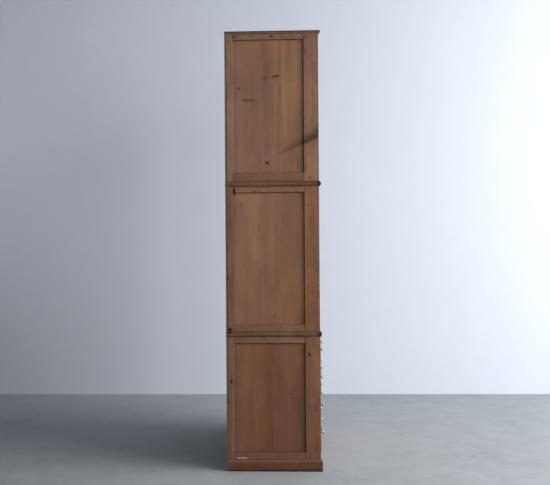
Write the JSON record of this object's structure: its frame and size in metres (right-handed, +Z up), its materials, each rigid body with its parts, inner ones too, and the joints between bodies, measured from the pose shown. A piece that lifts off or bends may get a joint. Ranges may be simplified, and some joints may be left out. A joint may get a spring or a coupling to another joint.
{
  "type": "three-tier stacking cabinet",
  "caption": "Tall stacking cabinet of framed softwood tiers, with sliding glazed doors above a bank of small knobbed drawers on a plinth.",
  "frame": {"origin": "bottom centre of the box round the closed cabinet, knobs included, on the floor", "axes": "+Z up, the doors and drawers face -Y, and the pictured side faces -X"},
  "size_m": [0.916, 0.406, 1.826],
  "materials": {
    "stained_softwood": "satin",
    "plain_softwood": "matte",
    "back_softwood": "matte",
    "glass": "gloss",
    "knob_metal": "satin"
  },
  "bodies": {
    "case": {"plinth": "stained_softwood", "lower_stiles": "stained_softwood", "lower_side_rails": "stained_softwood", "lower_side_panels": "stained_softwood", "lower_back_boards": "back_softwood", "lower_bottom_board": "stained_softwood", "middle_stiles": "stained_softwood", "middle_side_rails": "stained_softwood", "middle_side_panels": "stained_softwood", "middle_back_boards": "back_softwood", "middle_bottom_board": "stained_softwood", "upper_stiles": "stained_softwood", "upper_side_rails": "stained_softwood", "upper_side_panels": "stained_softwood", "upper_back_boards": "back_softwood", "upper_bottom_board": "stained_softwood", "lower_top_board": "stained_softwood", "lower_nosing": "stained_softwood", "middle_top_board": "stained_softwood", "middle_nosing": "stained_softwood", "crown_top": "stained_softwood", "middle_door_tracks": "stained_softwood", "upper_door_tracks": "stained_softwood", "shelves": "stained_softwood", "shelf_cleats": "plain_softwood", "drawer_dividers": "stained_softwood", "drawer_rails": "stained_softwood", "drawer_runners": "plain_softwood"},
    "middle_left_door": {"middle_left_door_frame": "stained_softwood", "middle_left_door_glass": "glass"},
    "middle_right_door": {"middle_right_door_frame": "stained_softwood", "middle_right_door_glass": "glass"},
    "upper_left_door": {"upper_left_door_frame": "stained_softwood", "upper_left_door_glass": "glass"},
    "upper_right_door": {"upper_right_door_frame": "stained_softwood", "upper_right_door_glass": "glass"},
    "drawer_row1_column1": {"drawer_row1_column1": "stained_softwood", "drawer_row1_column1_knob": "knob_metal"},
    "drawer_row1_column2": {"drawer_row1_column2": "stained_softwood", "drawer_row1_column2_knob": "knob_metal"},
    "drawer_row1_column3": {"drawer_row1_column3": "stained_softwood", "drawer_row1_column3_knob": "knob_metal"},
    "drawer_row2_column1": {"drawer_row2_column1": "stained_softwood", "drawer_row2_column1_knob": "knob_metal"},
    "drawer_row2_column2": {"drawer_row2_column2": "stained_softwood", "drawer_row2_column2_knob": "knob_metal"},
    "drawer_row2_column3": {"drawer_row2_column3": "stained_softwood", "drawer_row2_column3_knob": "knob_metal"},
    "drawer_row3_column1": {"drawer_row3_column1": "stained_softwood", "drawer_row3_column1_knob": "knob_metal"},
    "drawer_row3_column2": {"drawer_row3_column2": "stained_softwood", "drawer_row3_column2_knob": "knob_metal"},
    "drawer_row3_column3": {"drawer_row3_column3": "stained_softwood", "drawer_row3_column3_knob": "knob_metal"},
    "drawer_row4_column1": {"drawer_row4_column1": "stained_softwood", "drawer_row4_column1_knob": "knob_metal"},
    "drawer_row4_column2": {"drawer_row4_column2": "stained_softwood", "drawer_row4_column2_knob": "knob_metal"},
    "drawer_row4_column3": {"drawer_row4_column3": "stained_softwood", "drawer_row4_column3_knob": "knob_metal"}
  },
  "joints": [
    {"name": "middle_left_door_slide", "type": "slide", "parent": "case", "child": "middle_left_door", "axis": [1, 0, 0], "range_m": [0, 0.406]},
    {"name": "middle_right_door_slide", "type": "slide", "parent": "case", "child": "middle_right_door", "axis": [-1, 0, 0], "range_m": [0, 0.406]},
    {"name": "upper_left_door_slide", "type": "slide", "parent": "case", "child": "upper_left_door", "axis": [1, 0, 0], "range_m": [0, 0.406]},
    {"name": "upper_right_door_slide", "type": "slide", "parent": "case", "child": "upper_right_door", "axis": [-1, 0, 0], "range_m": [0, 0.406]},
    {"name": "drawer_row1_column1_slide", "type": "slide", "parent": "case", "child": "drawer_row1_column1", "axis": [0, -1, 0], "range_m": [0, 0.3]},
    {"name": "drawer_row1_column2_slide", "type": "slide", "parent": "case", "child": "drawer_row1_column2", "axis": [0, -1, 0], "range_m": [0, 0.3]},
    {"name": "drawer_row1_column3_slide", "type": "slide", "parent": "case", "child": "drawer_row1_column3", "axis": [0, -1, 0], "range_m": [0, 0.3]},
    {"name": "drawer_row2_column1_slide", "type": "slide", "parent": "case", "child": "drawer_row2_column1", "axis": [0, -1, 0], "range_m": [0, 0.3]},
    {"name": "drawer_row2_column2_slide", "type": "slide", "parent": "case", "child": "drawer_row2_column2", "axis": [0, -1, 0], "range_m": [0, 0.3]},
    {"name": "drawer_row2_column3_slide", "type": "slide", "parent": "case", "child": "drawer_row2_column3", "axis": [0, -1, 0], "range_m": [0, 0.3]},
    {"name": "drawer_row3_column1_slide", "type": "slide", "parent": "case", "child": "drawer_row3_column1", "axis": [0, -1, 0], "range_m": [0, 0.3]},
    {"name": "drawer_row3_column2_slide", "type": "slide", "parent": "case", "child": "drawer_row3_column2", "axis": [0, -1, 0], "range_m": [0, 0.3]},
    {"name": "drawer_row3_column3_slide", "type": "slide", "parent": "case", "child": "drawer_row3_column3", "axis": [0, -1, 0], "range_m": [0, 0.3]},
    {"name": "drawer_row4_column1_slide", "type": "slide", "parent": "case", "child": "drawer_row4_column1", "axis": [0, -1, 0], "range_m": [0, 0.3]},
    {"name": "drawer_row4_column2_slide", "type": "slide", "parent": "case", "child": "drawer_row4_column2", "axis": [0, -1, 0], "range_m": [0, 0.3]},
    {"name": "drawer_row4_column3_slide", "type": "slide", "parent": "case", "child": "drawer_row4_column3", "axis": [0, -1, 0], "range_m": [0, 0.3]}
  ]
}
